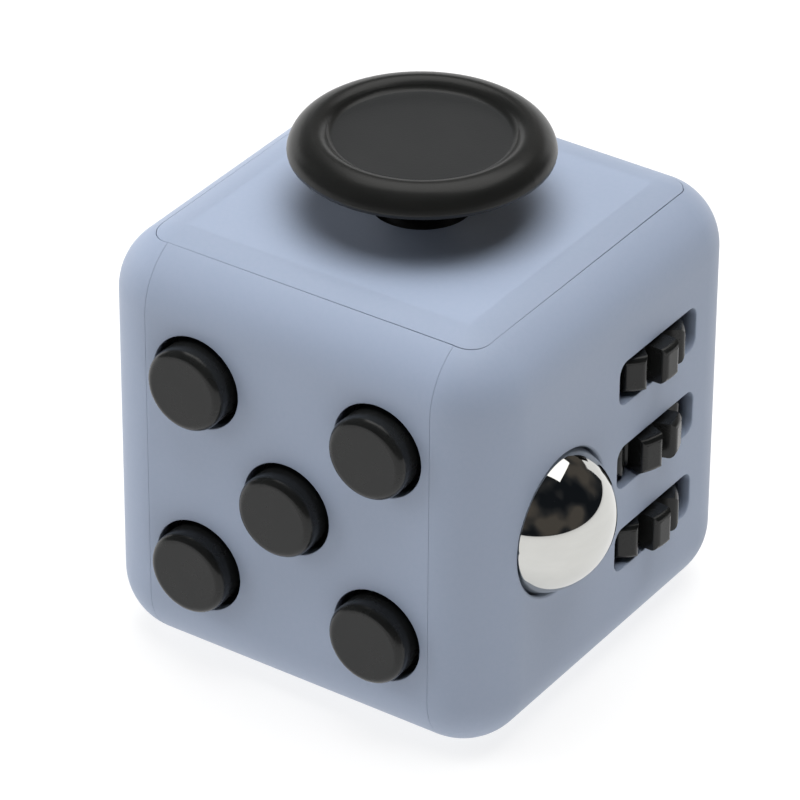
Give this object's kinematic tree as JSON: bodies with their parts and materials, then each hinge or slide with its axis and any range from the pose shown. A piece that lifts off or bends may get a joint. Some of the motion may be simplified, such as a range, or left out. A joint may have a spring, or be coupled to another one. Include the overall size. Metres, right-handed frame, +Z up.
{
  "type": "fidget cube",
  "caption": "Palm-size rounded desk toy cube with push buttons, tilting joystick disc, steel ball, thumb gears, spinning dial, rocker switch and thumb dish.",
  "frame": {"origin": "middle of the base, on the surface it rests on", "axes": "+Z up through the joystick, -Y out of the button face, +X out of the ball and gear face"},
  "size_m": [0.04, 0.0362, 0.039],
  "materials": {
    "shell": "satin moulded grey-blue",
    "control_plastic": "satin charcoal",
    "stick_rubber": "soft matte charcoal",
    "stem_plastic": "satin black",
    "inner_plastic": "natural nylon",
    "ball_steel": "polished steel",
    "spring_steel": "bright spring steel",
    "silicone": "translucent silicone",
    "steel": "zinc-plated steel"
  },
  "bodies": {
    "housing": {"right_shell": "shell", "left_shell": "shell", "front_panel": "shell", "back_panel": "shell", "top_lid": "shell", "bottom_lid": "shell", "button_backing_plate": "inner_plastic", "backing_plate_screws": "steel", "dome_centre": "spring_steel", "dome_upper_left": "silicone", "dome_upper_right": "spring_steel", "dome_lower_left": "spring_steel", "dome_lower_right": "silicone", "gimbal_trunnion_pins": "steel", "joystick_housing": "stem_plastic", "joystick_housing_screws": "steel", "joystick_spring": "spring_steel", "ball_click_dome": "spring_steel", "roll_bracket": "inner_plastic", "roll_bracket_screws": "steel", "gear_axle": "steel", "axle_clip": "steel", "upper_spacer": "inner_plastic", "lower_spacer": "inner_plastic", "rocker_pin": "steel", "rocker_bracket": "inner_plastic", "rocker_detent_spring": "spring_steel", "rocker_bracket_screws": "steel"},
    "button_centre_body": {"button_centre": "control_plastic"},
    "button_upper_left_body": {"button_upper_left": "control_plastic"},
    "button_upper_right_body": {"button_upper_right": "control_plastic"},
    "button_lower_left_body": {"button_lower_left": "control_plastic"},
    "button_lower_right_body": {"button_lower_right": "control_plastic"},
    "gimbal": {"gimbal_ring": "stem_plastic", "gimbal_cross_pin": "steel"},
    "joystick": {"joystick_cap": "stick_rubber", "joystick_stem": "stem_plastic"},
    "ball_seat": {"ball_cup": "stem_plastic"},
    "ball": {"roller_ball": "ball_steel"},
    "upper_gear_body": {"upper_gear": "control_plastic"},
    "middle_gear_body": {"middle_gear": "control_plastic"},
    "lower_gear_body": {"lower_gear": "control_plastic"},
    "dial": {"spin_dial": "control_plastic", "dial_washer": "steel", "dial_screw": "steel"},
    "rocker": {"rocker_switch": "control_plastic"}
  },
  "joints": [
    {"name": "press_centre", "type": "slide", "parent": "housing", "child": "button_centre_body", "axis": [0, 1, 0], "range_m": [0, 0.0008], "stiffness_N_per_m": 2500, "deforming": ["dome_centre"]},
    {"name": "press_upper_left", "type": "slide", "parent": "housing", "child": "button_upper_left_body", "axis": [0, 1, 0], "range_m": [0, 0.0008], "stiffness_N_per_m": 2500, "deforming": ["dome_upper_left"]},
    {"name": "press_upper_right", "type": "slide", "parent": "housing", "child": "button_upper_right_body", "axis": [0, 1, 0], "range_m": [0, 0.0008], "stiffness_N_per_m": 2500, "deforming": ["dome_upper_right"]},
    {"name": "press_lower_left", "type": "slide", "parent": "housing", "child": "button_lower_left_body", "axis": [0, 1, 0], "range_m": [0, 0.0008], "stiffness_N_per_m": 2500, "deforming": ["dome_lower_left"]},
    {"name": "press_lower_right", "type": "slide", "parent": "housing", "child": "button_lower_right_body", "axis": [0, 1, 0], "range_m": [0, 0.0008], "stiffness_N_per_m": 2500, "deforming": ["dome_lower_right"]},
    {"name": "tilt_front_back", "type": "hinge", "parent": "housing", "child": "gimbal", "pos_m": [0, 0, 0.0295], "axis": [1, 0, 0], "range_deg": [-12, 12], "stiffness_Nm_per_rad": 0.08, "deforming": ["joystick_spring"]},
    {"name": "tilt_left_right", "type": "hinge", "parent": "gimbal", "child": "joystick", "pos_m": [0, 0, 0.0295], "axis": [0, 1, 0], "range_deg": [-12, 12], "stiffness_Nm_per_rad": 0.08, "deforming": ["joystick_spring"]},
    {"name": "ball_press", "type": "slide", "parent": "housing", "child": "ball_seat", "axis": [-1, 0, 0], "range_m": [0, 0.0005], "stiffness_N_per_m": 3000, "deforming": ["ball_click_dome"]},
    {"name": "ball_roll", "type": "hinge", "parent": "ball_seat", "child": "ball", "pos_m": [0.01444, -0.00703, 0.0165], "axis": [0, 0, 1], "continuous": true},
    {"name": "upper_gear_roll", "type": "hinge", "parent": "housing", "child": "upper_gear_body", "pos_m": [0.0131, 0.0051, 0.0165], "axis": [0, 0, 1], "continuous": true},
    {"name": "middle_gear_roll", "type": "hinge", "parent": "housing", "child": "middle_gear_body", "pos_m": [0.0131, 0.0051, 0.0165], "axis": [0, 0, 1], "continuous": true},
    {"name": "lower_gear_roll", "type": "hinge", "parent": "housing", "child": "lower_gear_body", "pos_m": [0.0131, 0.0051, 0.0165], "axis": [0, 0, 1], "continuous": true},
    {"name": "dial_spin", "type": "hinge", "parent": "housing", "child": "dial", "pos_m": [0, 0.0135, 0.0165], "axis": [0, 1, 0], "continuous": true},
    {"name": "rocker_flip", "type": "hinge", "parent": "housing", "child": "rocker", "pos_m": [-0.0133, 0, 0.0165], "axis": [0, 1, 0], "range_deg": [0, 31.1], "deforming": ["rocker_detent_spring"]}
  ]
}
